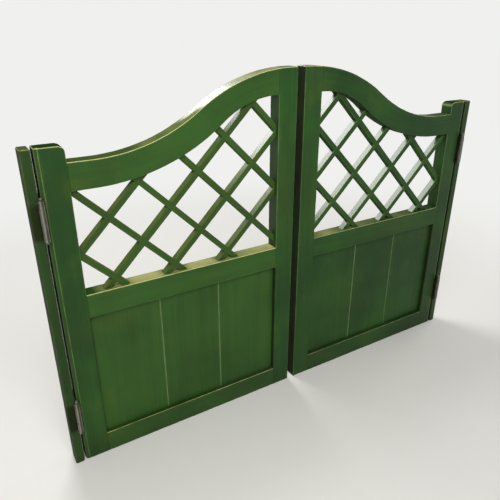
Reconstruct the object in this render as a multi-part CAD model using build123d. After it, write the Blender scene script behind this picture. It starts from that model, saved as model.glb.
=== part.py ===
from build123d import *
import math
import os

# A pair of saloon doors with their two wall posts, closed, in millimetres.
# X runs along the doors, Y from the front to the back, Z up.
# The origin is on the floor of the pair, midway between the posts and midway through the thickness.

# Leaf outline
leaf_width = 705.0
leaf_thickness = 44.0
ear_height = 900.0
ear_round = 15.0
saddle_drop = 39.0
crest_rise = 142.0
saddle_run = 57.0
crest_run = 17.0
meeting_gap = 24.0
eased_edge = 2.5
heel_width = 9.0
heel_depth = 3.0

# Stiles and rails
hinge_stile_width = 67.0
meeting_stile_width = 62.0
bottom_rail_height = 67.0
middle_rail_height = 67.0
middle_rail_share = 0.54
top_rail_low_depth = 69.0
top_rail_high_depth = 71.0
window_crest_run = 6.0
window_saddle_share = 0.68
tenon_length = 40.0
rail_curve_share = 0.5
tenon_thickness = 15.0
tenon_shoulder = 10.0
mortise_spare = 1.0

# Boarded panel
board_thickness = 18.0
middle_board_width = 184.0
board_housing = 9.0
board_spare = 1.0
tongue_length = 6.0
tongue_thickness = 6.0
tongue_spare = 0.5
vee_size = 3.0

# Lattice window
slat_face = 16.0
slat_depth = 22.0
slat_recess = 10.0
slat_housing = 6.0
slat_tilt = 45.0
rising_slat_count = 4
falling_slat_count = 6
lattice_pitch_share = 0.1615
lattice_start_share = 0.64

# Wall posts
post_width = 24.0
wall_hole_radius = 2.6
wall_hole_sink_radius = 5.2
wall_hole_margin = 50.0
wall_hole_count = 4

# Double-action spring hinges
hinge_end_margin = 108.0
flange_plate = 1.5
web_plate = 1.5
plate_clearance = 0.3
flange_height = 92.0
flange_setback = 2.0
barrel_radius = 8.0
barrel_wall = 1.5
barrel_proud = 1.0
barrel_length = 72.0
lug_height = 8.0
turning_clearance = 0.2
spindle_radius = 2.5
spring_tube_play = 0.3
spring_spindle_play = 0.7
spring_end_play = 0.3
finial_height = 6.0
finial_radius = 4.2
finial_tip_radius = 3.0
collar_height = 12.0
collar_inset = 0.6
collar_groove = 0.9
pin_radius = 1.2
pin_proud = 1.2
screw_shank_radius = 1.75
screw_head_radius = 3.6
screw_post_cover = 5.8
screw_length_leaf = 28.0
screw_point = 4.0
screw_slot = 0.9
screw_slot_depth = 0.7
screw_rows = 4
screw_row_spread = 20.0
screw_column_spread = 20.0

# Derived places, with u measured from a leaf's hinge edge towards its meeting edge
half_thickness = leaf_thickness / 2
seam = 2 * flange_plate + web_plate + 2 * plate_clearance
leaf_left = -(meeting_gap / 2 + leaf_width)
axis_x = leaf_left - seam / 2
stile_inner = hinge_stile_width
meeting_inner = leaf_width - meeting_stile_width
saddle_height = ear_height - saddle_drop
crest_height = ear_height + crest_rise
panel_top = middle_rail_share * ear_height - middle_rail_height / 2
panel_height = panel_top - bottom_rail_height
window_bottom = panel_top + middle_rail_height
window_low_top = saddle_height - top_rail_low_depth
window_high_top = crest_height - top_rail_high_depth
saddle_u = stile_inner + saddle_run
crest_u = leaf_width - crest_run
window_crest_u = meeting_inner - window_crest_run
axis_offset = half_thickness + barrel_radius + barrel_proud
tube_bore = barrel_radius - barrel_wall
collar_radius = barrel_radius - collar_inset
pin_reach = barrel_radius + pin_proud
screw_length_post = post_width + flange_plate - screw_post_cover
slat_middle = -half_thickness + slat_recess + slat_depth / 2
tube_bottom = finial_height + lug_height
tube_top = tube_bottom + barrel_length
collar_bottom = tube_top + lug_height
cap_bottom = collar_bottom + collar_height
hinge_height = cap_bottom + finial_height
hinge_heights = {
    "lower": hinge_end_margin,
    "upper": ear_height - hinge_end_margin - hinge_height,
}
flange_bottom = tube_bottom + barrel_length / 2 - flange_height / 2


def box(x0, x1, y0, y1, z0, z1):
    """A block between two corners."""
    middle = ((x0 + x1) / 2, (y0 + y1) / 2, (z0 + z1) / 2)
    return Pos(*middle) * Box(x1 - x0, y1 - y0, z1 - z0)


def rod(radius, z0, z1, y=0.0):
    """A round bar that stands on Z at depth y."""
    bar = Cylinder(radius, z1 - z0, align=(Align.CENTER, Align.CENTER, Align.MIN))
    return Pos(0, y, z0) * bar


def ring(outer, inner, z0, z1):
    """A tube or disc with a round hole, standing on Z."""
    return rod(outer, z0, z1) - rod(inner, z0, z1)


def along_x(radius, length, towards):
    """A round bar from the origin along X, towards +1 or -1."""
    return Rot(0, 90 * towards, 0) * rod(radius, 0, length)


def sink(bottom_radius, top_radius, depth):
    """The cone of a countersink, from its bottom at the origin to its mouth along +X."""
    return Solid.make_cone(bottom_radius, top_radius, depth, Plane(origin=(0, 0, 0), z_dir=(1, 0, 0)))


def swan_neck(start, end, share):
    """Two arcs in one S, level at both ends, where share is the first arc's part of both radii."""
    run = end[0] - start[0]
    rise = end[1] - start[1]
    turn = 2 * math.atan2(rise, run)
    first_radius = share * run / math.sin(turn)
    join_u = start[0] + first_radius * math.sin(turn)
    join_z = start[1] + first_radius * (1 - math.cos(turn))
    slope = (math.cos(turn), math.sin(turn))
    lower = TangentArc(start, (join_u, join_z), tangent=(1, 0))
    upper = TangentArc((join_u, join_z), end, tangent=slope)
    return [lower, upper]


def leaf_outline():
    """The leaf's face: square feet, an ear over the hinge stile and a swan neck up to the crest."""
    saddle = (saddle_u, saddle_height)
    crest = (crest_u, crest_height)
    ear_inner = stile_inner - ear_round
    feet = Polyline(
        (stile_inner, ear_height - ear_round),
        (stile_inner, saddle_height),
        saddle,
    )
    rest = Polyline(
        crest,
        (leaf_width, crest_height),
        (leaf_width, 0),
        (0, 0),
        (0, ear_height),
        (ear_inner, ear_height),
    )
    shoulder = TangentArc((ear_inner, ear_height), (stile_inner, ear_height - ear_round), tangent=(1, 0))
    neck = swan_neck(saddle, crest, rail_curve_share)
    return make_face([*feet.edges(), *neck, *rest.edges(), shoulder])


def window_outline(grow):
    """The lattice window's face, with every side moved out by grow."""
    run = window_crest_u - saddle_u
    both_radii = run / math.sin(2 * math.atan2(window_high_top - window_low_top, run))
    share = window_saddle_share - grow / both_radii
    low = (saddle_u, window_low_top + grow)
    high = (window_crest_u, window_high_top + grow)
    sides = Polyline(
        high,
        (meeting_inner + grow, window_high_top + grow),
        (meeting_inner + grow, window_bottom - grow),
        (stile_inner - grow, window_bottom - grow),
        (stile_inner - grow, window_low_top + grow),
        low,
    )
    return make_face([*sides.edges(), *swan_neck(low, high, share)])


def panel_outline(grow):
    """The panel opening's face, with every side moved out by grow."""
    wide = meeting_inner - stile_inner + 2 * grow
    high = panel_height + 2 * grow
    middle = ((stile_inner + meeting_inner) / 2, bottom_rail_height + panel_height / 2)
    return Pos(*middle) * Rectangle(wide, high)


def standing(face, y=0.0):
    """A face drawn in u and z, stood upright at depth y."""
    return Pos(0, y, 0) * (Plane.XZ * face)


def eased_opening(outline):
    """What an opening takes out of the frame: a straight hole with eased arrises front and back."""
    hole = extrude(standing(outline(0)), amount=leaf_thickness, both=True)
    near = standing(outline(0), -half_thickness + eased_edge)
    past = 2 * eased_edge
    far = standing(outline(past), -half_thickness + eased_edge - past)
    front = loft([near, far], ruled=True)
    return hole + front + mirror(front, about=Plane.XZ)


def heel():
    """What the plane takes off the front of the leaf's hinge edge: a shallow bevel over its whole height."""
    profile = Polyline(
        (0, -half_thickness),
        (heel_width, -half_thickness),
        (0, -half_thickness + heel_depth),
        close=True,
    )
    return extrude(make_face(profile), amount=ear_height, dir=(0, 0, 1))


def leaf_blank():
    """The whole leaf frame in one slab, eased all round, before it is parted into stiles and rails."""
    slab = extrude(standing(leaf_outline()), amount=half_thickness, both=True)
    faces = slab.faces().sort_by(Axis.Y)
    arrises = [*faces[0].edges(), *faces[-1].edges()]
    slab = chamfer(arrises, length=eased_edge) - heel() - mirror(heel(), about=Plane.XZ)
    return slab - eased_opening(window_outline) - eased_opening(panel_outline)


def tenon(u0, u1, z0, z1):
    """A tenon on the middle of the thickness, or the mortise for it."""
    half = tenon_thickness / 2
    return box(u0, u1, -half, half, z0, z1)


def tenon_heights():
    """Lower and upper edge of each rail's tenons, hinge side first."""
    step = tenon_shoulder
    low_end = (window_low_top + step, saddle_height - step)
    high_end = (window_high_top + step, crest_height - step)
    return {
        "top": (low_end, high_end),
        "middle": ((panel_top + step, window_bottom - step),) * 2,
        "bottom": ((step, bottom_rail_height - step),) * 2,
    }


def slat_blank(rising, offset, depth=slat_depth, y=slat_middle):
    """One full slat bar. offset is its height over the window's lower corner, on the hinge stile."""
    length = 2 * (leaf_width + crest_height)
    tilt = -slat_tilt if rising else slat_tilt
    return Pos(stile_inner, y, window_bottom + offset) * Rot(0, tilt, 0) * Box(length, depth, slat_face)


def half_blank(rising, offset, side):
    """The front (side -1) or back (side 1) half of a slat bar, which a crossing slat gives way to."""
    return slat_blank(rising, offset, slat_depth / 2, slat_middle + side * slat_depth / 4)


def slat_offsets():
    """Heights of the rising and the falling slats over the window's lower corner, on the hinge stile."""
    window_reach = meeting_inner - stile_inner + window_high_top - window_bottom
    pitch = lattice_pitch_share * window_reach
    start = lattice_start_share * pitch
    rising = [start - k * pitch for k in range(rising_slat_count)]
    falling = [start + k * pitch for k in range(falling_slat_count)]
    return rising, falling


def lattice():
    """Cross-halved slats, named, and the pockets that house their ends."""
    housing = extrude(standing(window_outline(slat_housing)), amount=leaf_thickness, both=True)
    rising, falling = slat_offsets()
    pockets = [slat_blank(True, offset) & housing for offset in rising]
    pockets += [slat_blank(False, offset) & housing for offset in falling]
    front_halves = [half_blank(False, offset, -1) for offset in falling]
    back_halves = [half_blank(True, offset, 1) for offset in rising]
    slats = {}
    for number, offset in enumerate(rising, 1):
        slats[f"slat_rising_{number}"] = (slat_blank(True, offset) & housing).cut(*front_halves)
    for number, offset in enumerate(falling, 1):
        slats[f"slat_falling_{number}"] = (slat_blank(False, offset) & housing).cut(*back_halves)
    return slats, pockets


def grooved_edge(u):
    """The left edge of a board's section, from its back arris to its front one, with a groove."""
    half = board_thickness / 2
    lip = tongue_thickness / 2
    depth = tongue_length + tongue_spare
    return [
        (u + vee_size, half),
        (u, half - vee_size),
        (u, lip),
        (u + depth, lip),
        (u + depth, -lip),
        (u, -lip),
        (u, -half + vee_size),
        (u + vee_size, -half),
    ]


def tongued_edge(u):
    """The right edge of a board's section, from its front arris to its back one, with a tongue."""
    half = board_thickness / 2
    lip = tongue_thickness / 2
    return [
        (u - vee_size, -half),
        (u, -half + vee_size),
        (u, -lip),
        (u + tongue_length, -lip),
        (u + tongue_length, lip),
        (u, lip),
        (u, half - vee_size),
        (u - vee_size, half),
    ]


def square_edge(u, side):
    """A plain edge of a board's section, housed in a stile: side -1 is the left edge, 1 the right."""
    half = side * board_thickness / 2
    return [(u, -half), (u, half)]


def board(left_edge, right_edge):
    """One board: its section carried up the panel and into the grooves of both rails."""
    section = make_face(Polyline(*left_edge, *right_edge, close=True))
    low = bottom_rail_height - board_housing + board_spare
    high = panel_top + board_housing - board_spare
    return Pos(0, 0, low) * extrude(section, amount=high - low)


def boards():
    """Three boards that fill the panel, tongued and grooved."""
    middle = (stile_inner + meeting_inner) / 2
    left_joint = middle - middle_board_width / 2
    right_joint = middle + middle_board_width / 2
    into = board_housing - board_spare
    return {
        "board_1": board(square_edge(stile_inner - into, -1), tongued_edge(left_joint)),
        "board_2": board(grooved_edge(left_joint), tongued_edge(right_joint)),
        "board_3": board(grooved_edge(right_joint), square_edge(meeting_inner + into, 1)),
    }


def frame_members(pockets):
    """Stiles and rails parted from the eased slab, joined by blind mortise and tenon."""
    blank = leaf_blank()
    half = board_thickness / 2
    groove = box(
        stile_inner - board_housing,
        meeting_inner + board_housing,
        -half,
        half,
        bottom_rail_height - board_housing,
        panel_top + board_housing,
    )
    deep = leaf_thickness
    top = crest_height + deep
    cuts = {
        "hinge_stile": box(-deep, stile_inner, -deep, deep, -deep, top),
        "meeting_stile": box(meeting_inner, leaf_width + deep, -deep, deep, -deep, top),
        "top_rail": box(stile_inner, meeting_inner, -deep, deep, window_bottom + deep, top),
        "middle_rail": box(stile_inner, meeting_inner, -deep, deep, panel_top, window_bottom),
        "bottom_rail": box(stile_inner, meeting_inner, -deep, deep, -deep, bottom_rail_height),
    }
    members = {}
    for name, cut in cuts.items():
        members[name] = (blank & cut) - groove
    near_end = stile_inner - tenon_length
    far_end = meeting_inner + tenon_length
    for rail, (near, far) in tenon_heights().items():
        name = f"{rail}_rail"
        members[name] = members[name] + tenon(near_end, stile_inner, *near)
        members[name] = members[name] + tenon(meeting_inner, far_end, *far)
        near_hole = tenon(near_end - mortise_spare, stile_inner, *near)
        far_hole = tenon(meeting_inner, far_end + mortise_spare, *far)
        members["hinge_stile"] = members["hinge_stile"] - near_hole
        members["meeting_stile"] = members["meeting_stile"] - far_hole
    for name in ("hinge_stile", "meeting_stile", "top_rail", "middle_rail"):
        members[name] = members[name].cut(*pockets)
    return members


def screw_places():
    """Depth and height of each flange screw, in two staggered columns."""
    middle_y = -flange_setback / 2
    middle_z = tube_bottom + barrel_length / 2
    middle_row = (screw_rows - 1) / 2
    places = []
    for row in range(screw_rows):
        column = 1 if row % 2 else -1
        y = middle_y + column * screw_column_spread / 2
        places.append((y, middle_z + (row - middle_row) * screw_row_spread))
    return places


def screw(length):
    """A countersunk slotted screw along -X, its head's face at x = 0."""
    tip = length - screw_point
    profile = Polyline(
        (0, 0),
        (0, screw_head_radius),
        (-flange_plate, screw_shank_radius),
        (-tip, screw_shank_radius),
        (-length, 0),
        close=True,
    )
    solid = revolve(make_face(profile), axis=Axis.X, revolution_arc=360)
    half = screw_slot / 2
    wide = screw_head_radius + half
    return solid - box(-screw_slot_depth, half, -half, half, -wide, wide)


def screw_bore(length):
    """The hole that a screw of that length fills, open at its head."""
    return along_x(screw_shank_radius, length, -1)


def plate_screws(length, shape):
    """One shape for each screw of the flange that faces left, heads towards +X."""
    x = -seam / 2 + flange_plate
    return [Pos(x, y, z) * shape(length) for y, z in screw_places()]


def flange():
    """The plate that faces left, with the front barrel rolled on its edge. Its twin faces right."""
    x0 = -seam / 2
    x1 = x0 + flange_plate
    back = half_thickness - flange_setback
    low = tube_bottom + turning_clearance
    high = tube_top - turning_clearance
    plate = box(x0, x1, -half_thickness, back, flange_bottom, flange_bottom + flange_height)
    neck = box(x0, x1, -axis_offset, -half_thickness, low, high)
    barrel = rod(barrel_radius, low, high, -axis_offset)
    solid = plate + neck + barrel - rod(tube_bore, low, high, -axis_offset)
    mouth = sink(screw_shank_radius, screw_head_radius, flange_plate)
    return solid.cut(*[Pos(x0, y, z) * mouth for y, z in screw_places()])


def web():
    """The centre plate with a lug above and below each barrel."""
    half = web_plate / 2
    clear = axis_offset - barrel_radius - plate_clearance
    low = tube_bottom - turning_clearance
    high = tube_top + turning_clearance
    solid = box(-half, half, -axis_offset, axis_offset, finial_height, collar_bottom)
    for side in (-1, 1):
        near, far = sorted((side * clear, side * axis_offset))
        solid = solid - box(-half, half, near, far, low, high)
        solid = solid + rod(barrel_radius, finial_height, low, side * axis_offset)
        solid = solid + rod(barrel_radius, high, collar_bottom, side * axis_offset)
        solid = solid - rod(spindle_radius, 0, hinge_height, side * axis_offset)
    return solid


def spindle():
    """The rod through one barrel, with a turned finial at each end."""
    half_finial = finial_height / 2
    profile = Polyline(
        (0, 0),
        (finial_tip_radius, 0),
        (finial_radius, half_finial),
        (finial_radius, finial_height),
        (spindle_radius, finial_height),
        (spindle_radius, cap_bottom),
        (finial_radius, cap_bottom),
        (finial_radius, cap_bottom + half_finial),
        (finial_tip_radius, hinge_height),
        (0, hinge_height),
        close=True,
    )
    return revolve(Plane.XZ * make_face(profile), axis=Axis.Z, revolution_arc=360)


def tension_collar():
    """The grooved collar that winds one spring, with its stop pin towards -X."""
    third = collar_height / 3
    solid = ring(collar_radius, spindle_radius, collar_bottom, cap_bottom)
    low = collar_bottom + third
    high = cap_bottom - third
    groove = ring(barrel_radius, collar_radius - collar_groove, low, high)
    pin = Pos(0, 0, (low + high) / 2) * along_x(pin_radius, pin_reach, -1)
    return solid - groove + (pin - rod(spindle_radius, collar_bottom, cap_bottom))


def spring():
    """A close-wound torsion spring, whose touching turns fill a tube."""
    low = tube_bottom + spring_end_play
    high = tube_top - spring_end_play
    return ring(tube_bore - spring_tube_play, spindle_radius + spring_spindle_play, low, high)


def post():
    """The slim post on the wall's reveal, with countersunk holes for the wall fixings."""
    x1 = leaf_left - seam
    x0 = x1 - post_width
    solid = box(x0, x1, -half_thickness, half_thickness, 0, ear_height)
    arrises = [*solid.edges().filter_by(Axis.Z), *solid.faces().sort_by(Axis.Z)[-1].edges()]
    solid = chamfer(arrises, length=eased_edge)
    step = (ear_height - 2 * wall_hole_margin) / (wall_hole_count - 1)
    sink_depth = wall_hole_sink_radius - wall_hole_radius
    mouth = sink(wall_hole_radius, wall_hole_sink_radius, sink_depth)
    for number in range(wall_hole_count):
        z = wall_hole_margin + number * step
        bore = Pos(x0, 0, z) * along_x(wall_hole_radius, post_width, 1)
        solid = solid - bore - Pos(x1 - sink_depth, 0, z) * mouth
    return solid


def timber():
    """The left leaf's wooden pieces and its post, in place, before they are bored for the hinges."""
    slats, pockets = lattice()
    leaf = {**frame_members(pockets), **boards(), **slats}
    pieces = {name: Pos(leaf_left, 0, 0) * shape for name, shape in leaf.items()}
    pieces["post"] = post()
    return pieces


def hinges(side):
    """The hinges of the left (-1) or right (1) half, and the bores of their screws in leaf and post.

    All four hinges are alike, so on the left the post carries a front barrel and on the right a back one.
    """
    facing_left = Rot(0, 0, 0)
    facing_right = Rot(0, 0, 180)
    to_post, to_leaf = (facing_left, facing_right) if side < 0 else (facing_right, facing_left)
    to_barrel = Pos(0, -axis_offset, 0)
    found = {
        "spindles": [],
        "tension_collars": [],
        "frame_springs": [],
        "leaf_springs": [],
        "frame_screws": [],
        "leaf_screws": [],
    }
    post_bores = []
    leaf_bores = []
    for level, height in hinge_heights.items():
        place = Pos(side * abs(axis_x), 0, height)
        on_post = place * to_post
        on_leaf = place * to_leaf
        found[f"{level}_jamb_flange"] = [on_post * flange()]
        found[f"{level}_door_flange"] = [on_leaf * flange()]
        found[f"{level}_web"] = [place * web()]
        for turn in (facing_left, facing_right):
            found["spindles"].append(place * turn * to_barrel * spindle())
            found["tension_collars"].append(place * turn * to_barrel * tension_collar())
        found["frame_springs"].append(on_post * to_barrel * spring())
        found["leaf_springs"].append(on_leaf * to_barrel * spring())
        found["frame_screws"] += [on_post * one for one in plate_screws(screw_length_post, screw)]
        found["leaf_screws"] += [on_leaf * one for one in plate_screws(screw_length_leaf, screw)]
        post_bores += [on_post * one for one in plate_screws(screw_length_post, screw_bore)]
        leaf_bores += [on_leaf * one for one in plate_screws(screw_length_leaf, screw_bore)]
    return found, post_bores, leaf_bores


def mirrored(shape):
    """The same piece for the right half."""
    return mirror(shape, about=Plane.YZ)


def half(side, wooden):
    """Every piece of one half: the timber, mirrored for the right, and its hinges."""
    found, post_bores, leaf_bores = hinges(side)
    for name, shape in wooden.items():
        found[name] = [shape if side < 0 else mirrored(shape)]
    found["post"] = [found["post"][0].cut(*post_bores)]
    found["hinge_stile"] = [found["hinge_stile"][0].cut(*leaf_bores)]
    return found


def write(name, shapes):
    """One STEP file for one node, which holds one or more separate solids."""
    solids = []
    for shape in shapes:
        solids += shape.solids()
    shape = solids[0] if len(solids) == 1 else Compound(children=solids)
    shape.label = name
    export_step(shape, f"parts/{name}.step")


def main():
    os.makedirs("parts", exist_ok=True)
    wooden = timber()
    left = half(-1, wooden)
    right = half(1, wooden)
    for name in left:
        if name.startswith("frame_"):
            write(name, left[name] + right[name])
        else:
            write(f"left_{name}", left[name])
            write(f"right_{name}", right[name])


main()
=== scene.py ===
"""Dresses a pair of saloon doors: worn green paint on the timber, dull steel on the spring hinges.

Lengths are in metres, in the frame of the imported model: X along the closed doors, Y to the back, Z up.
On a leaf, u runs from its hinge edge to its meeting edge.
"""

import functools
import math

import bpy
import numpy as np
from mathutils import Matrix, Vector


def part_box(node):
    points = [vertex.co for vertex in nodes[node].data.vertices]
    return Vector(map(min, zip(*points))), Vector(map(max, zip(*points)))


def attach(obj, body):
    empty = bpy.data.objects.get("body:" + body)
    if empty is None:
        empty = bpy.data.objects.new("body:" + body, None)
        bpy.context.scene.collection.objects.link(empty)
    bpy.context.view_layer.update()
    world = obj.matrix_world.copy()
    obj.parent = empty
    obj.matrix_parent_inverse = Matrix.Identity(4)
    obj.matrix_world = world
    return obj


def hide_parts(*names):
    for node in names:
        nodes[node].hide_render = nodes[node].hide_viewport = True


bl_info = {
    "name": "Saloon door finish",
    "version": (1, 0, 0),
    "blender": (4, 5, 0),
    "location": "View3D > Sidebar > Saloon doors",
    "description": "Worn green paint and dull steel for a pair of swing doors",
    "category": "Object",
}

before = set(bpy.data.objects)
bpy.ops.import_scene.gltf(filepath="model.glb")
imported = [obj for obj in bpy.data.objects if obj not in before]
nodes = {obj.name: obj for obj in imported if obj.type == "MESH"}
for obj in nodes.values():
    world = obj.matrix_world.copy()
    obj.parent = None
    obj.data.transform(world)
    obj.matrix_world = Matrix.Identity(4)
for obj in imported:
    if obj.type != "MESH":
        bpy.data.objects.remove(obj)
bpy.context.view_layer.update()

SIDES = {"left": 1, "right": -1}

# The random seed of each kind of piece on the left leaf, and how much further on the right leaf's seeds are
SEEDS = {
    "hinge_stile": (11, 1),
    "meeting_stile": (21, 1),
    "top_rail": (31, 1),
    "middle_rail": (41, 1),
    "bottom_rail": (51, 1),
    "board": (61, 3),
    "slat_rising": (101, 20),
    "slat_falling": (111, 20),
}

# Worn places on each leaf: u, height, half width, half height, strength
RUBBED = {
    "left": (
        (0.085, 0.800, 0.040, 0.030, 0.9),
        (0.130, 0.415, 0.090, 0.045, 0.7),
        (0.150, 0.520, 0.070, 0.030, 0.5),
        (0.420, 0.480, 0.120, 0.030, 0.4),
        (0.330, 0.870, 0.120, 0.030, 0.4),
        (0.665, 0.700, 0.030, 0.150, 0.5),
        (0.100, 0.060, 0.060, 0.040, 0.6),
    ),
    "right": (
        (0.640, 0.985, 0.030, 0.020, 0.8),
        (0.660, 0.640, 0.030, 0.120, 0.4),
        (0.300, 0.490, 0.120, 0.030, 0.5),
        (0.480, 0.250, 0.080, 0.140, 0.3),
        (0.600, 0.045, 0.060, 0.040, 0.5),
    ),
}

# How much painted shade darkens each leaf, how much darker its hinge stile is, and how far old dirt darkens
# its foot, within a reach
LEAF_SHADE = {"left": 0.0, "right": 0.10}
STILE_DARKENING = 0.11
FLOOR_SOIL = 0.22
FLOOR_REACH = 0.07

# Dust and painted light on the middle rails: how much at most, where past the hinge stile it begins, over
# what length it builds up, and the share that each slat's foot keeps off as painted shade, within a reach
MIDDLE_DUST_AND_LIGHT = {"left": 0.9, "right": 0.85}
MIDDLE_START = 0.02
MIDDLE_RISE = {"left": 0.06, "right": 0.6}
FOOT_SHADE_SHARE = 0.6
FOOT_SHADE_REACH = 0.016

# Dust on the swan neck, at places along u, and on the crest
CREST_DUST = 0.55
NECK_PLACES = (0.22, 0.26, 0.40, 0.69)
NECK_DUST = (0.09, 0.36, 0.42, CREST_DUST)

# How far the arrises of each rail have kept their paint, in metres
RAIL_KEPT = {
    "top_rail": {"left": 0.0, "right": 0.0010},
    "middle_rail": {"left": 0.0, "right": 0.0007},
    "bottom_rail": {"left": 0.0009, "right": 0.0013},
}

# How far the boards' feet are clear of the corners' dirt and painted shade, in metres, and how far the two
# board joints are rubbed pale
BOARD_FOOT = {"left": 0.006, "right": 0.0}
BOARD_WEAR = {"left": (1.0, 0.95), "right": (0.62, 0.95)}

# How far sheltered arrises are rubbed, and how much more on the stiles
PLAIN_WEAR = 0.3
HINGE_STILE_WEAR = 0.3
MEETING_STILE_WEAR = 0.15

# How dark the painted shade on the stiles' inner faces is beside the boards and beside the window, over what
# height that begins, and how far the arris beside the boards has kept its paint
BOARD_SHADE = 0.9
WINDOW_SHADE = 0.45
SHADE_START = 0.003
INNER_KEPT = 0.0022

# How far the slats and the rails and boards are rubbed thin all over, and how dusty the slats' tops are
SLAT_RUB = {"left": 0.55, "right": 0.15}
PLAIN_RUB = {"left": 0.25, "right": 0.0}
SLAT_DUST = {"left": 0.4, "right": 0.1}

# How much further from its arrises a slat has kept its paint, in arris radii
SLAT_KEPT = {"left": 1.7, "right": 1.0}

# How much lighter the rails and boards of each leaf are, on the scale of a piece's own tone, which is -1 to 1
LIFT = {"left": 2.0, "right": 0.0}

# Where the sloping faces of the left leaf's swan neck and slats begin and finish gaining gloss, how far the
# neck's front half lags behind, and the gloss of the ears and before the gain
NECK_GLOSS = (0.345, 0.39)
NECK_LAG = 0.045
SLAT_GLOSS = (0.42, 0.60)
EAR_GLOSS = 0.1
LEAST_GLOSS = 0.01

# The paint's specular level and least roughness, the roughness of its dull faces, and the coat that gives
# the sloping faces their gleam
PAINT_SPECULAR = 0.14
PAINT_ROUGH = 0.27
DULL_ROUGH = 0.95
COAT_WEIGHT = 0.66
COAT_ROUGH = 0.2

# The timber's fixed places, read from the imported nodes
LEAF_EDGE = -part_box("left_hinge_stile")[0].x
STILE_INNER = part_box("left_hinge_stile")[1].x + LEAF_EDGE
MEETING_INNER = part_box("left_meeting_stile")[0].x + LEAF_EDGE
LEAF_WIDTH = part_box("left_meeting_stile")[1].x + LEAF_EDGE
HALF_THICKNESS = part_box("left_hinge_stile")[1].y
EAR_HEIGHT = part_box("left_hinge_stile")[1].z
CREST_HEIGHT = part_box("left_meeting_stile")[1].z
BOTTOM_RAIL = (0.0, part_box("left_bottom_rail")[1].z)
MIDDLE_RAIL = (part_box("left_middle_rail")[0].z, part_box("left_middle_rail")[1].z)
BOARD_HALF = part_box("left_board_1")[1].y
BOARD_ENDS = (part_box("left_board_1")[0].z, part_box("left_board_1")[1].z)
BOARD_JOINTS = (
    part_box("left_board_2")[0].x + LEAF_EDGE,
    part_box("left_board_3")[0].x + LEAF_EDGE,
)
BOARD_HOUSING = 0.008

# The swan neck and the window's curve under it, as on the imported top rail
SADDLE = (STILE_INNER + 0.057, EAR_HEIGHT - 0.039)
CREST = (LEAF_WIDTH - 0.017, CREST_HEIGHT)
NECK_SHARE = 0.5
WINDOW_LOW = (SADDLE[0], SADDLE[1] - 0.069)
WINDOW_HIGH = (MEETING_INNER - 0.006, CREST_HEIGHT - 0.071)
WINDOW_SHARE = 0.68
EAR_ROUND = 0.015

# An arris that nothing wears, and a distance that counts as out of reach
TIGHT_ARRIS = 0.0004
FAR_AWAY = 1.0

# The finely meshed strip along an arris, in arris radii, and where in it the stations lie
STRIP = 2.2
STRIP_PLACES = (0.0, 0.08, 0.18, 0.32, 0.5, 0.74, 1.0)

# The length of a stile's top that is scaled to meet the leaf's edge, and how deep next to each of its edges
# a rail keeps its shape
STILE_STRETCH = 0.10
RAIL_MARGIN = 0.01

# In arris radii: over what length a rail's shoulder sharpens the edge that it meets, how near a stile's edge
# counts as its face, and how worn the bevel's border is
SHOULDER = 1.5
FACE_REACH = 0.6
BEVEL_BORDER = 0.3

# How far dirt has dulled the posts, how far dirt and painted shade darken the face that lies against the
# wall, and what a post has in place of a leaf's attributes
POST_GRIME = 0.36
WALL_DIRT_AND_SHADE = 0.8
POST_PLAIN = dict(corner=FAR_AWAY, joint=FAR_AWAY, tone=-1.0, ledge=0.2, rub=0.15, gloss=0.1, wear=0.2)

# How dark the painted shadow of the hinges is on the posts and on each leaf's bevel, how far past a hinge
# it reaches there, and from where to where it fades across the bevel
HINGE_SHADOW = 0.95
BEVEL_SHADOW = {"left": 0.0, "right": 0.95}
SHADOW_REACH = 0.012
BEVEL_FADE = (0.010, 0.014)

# The painted shadow on the posts: where it fades past a hinge and across the post, and where the painted
# shade in the gap fades
PAST_FADE = (-0.010, 0.014)
ACROSS_FADE = (0.022, 0.032)
GAP_FADE = (0.0003, 0.0012)

# How much of its light old dirt takes from the steel of each side's hinges, with painted shade as well on the
# right side's, and from pins and screws, how rusty their spots are, and their least roughness
HINGE_SOIL_AND_SHADE = {"left": 0.1, "right": 0.32}
PIN_SOIL = 0.2
HINGE_RUST, PIN_RUST = 0.5, 0.3
HINGE_ROUGH, PIN_ROUGH = 0.16, 0.3

# The planed bevel on the hinge edge
HEEL_WIDTH = 0.009
HEEL_DEPTH = 0.003

# The hinge barrels: how far their axes stand from the middle and from the leaf's plane, and their radius
BARREL_AXIS = (
    (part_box("left_lower_web")[0].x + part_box("left_lower_web")[1].x) / -2,
    HALF_THICKNESS + 0.009,
)
BARREL_RADIUS = 0.008

# The lattice
SLAT_FACE = 0.016
SLAT_FRONT = -HALF_THICKNESS + 0.010
SLAT_DEPTH = 0.022
SLAT_HOUSING = 0.006
SLAT_DIP = 0.0003
SLAT_MARGIN = 0.02
WINDOW_REACH = MEETING_INNER - STILE_INNER + WINDOW_HIGH[1] - MIDDLE_RAIL[1]
SLAT_PITCH = 0.1615 * WINDOW_REACH
SLAT_START = 0.64 * SLAT_PITCH
RISING_SLATS = 4
FALLING_SLATS = 6

# Places along a slat's line, from the hinge stile, where its ends are looked for
SLAT_LINE = np.linspace(-0.1, 1.2, 6501)

# The stage: each lamp's name, place, aim, size and power, the room's light, half the floor's width, and
# from where to where the floor fades into the background
LAMPS = (
    ("key_lamp", (-0.9, -1.5, 2.0), (-0.2, 0.0, 0.5), 1.4, 42.0),
    ("side_lamp", (2.7, 0.3, 1.5), (0.6, 0.0, 0.5), 1.3, 16.0),
    ("back_lamp", (-0.20, 1.75, 2.4), (0.1, 0.0, 0.7), 1.15, 42.0),
)
ROOM_COLOUR = (1.0, 0.99, 0.97)
ROOM_LIGHT = 0.32
FLOOR_HALF = 12.0
FLOOR_FADE = (0.8, 2.6)
SENSOR_WIDTH = 36.0


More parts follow.
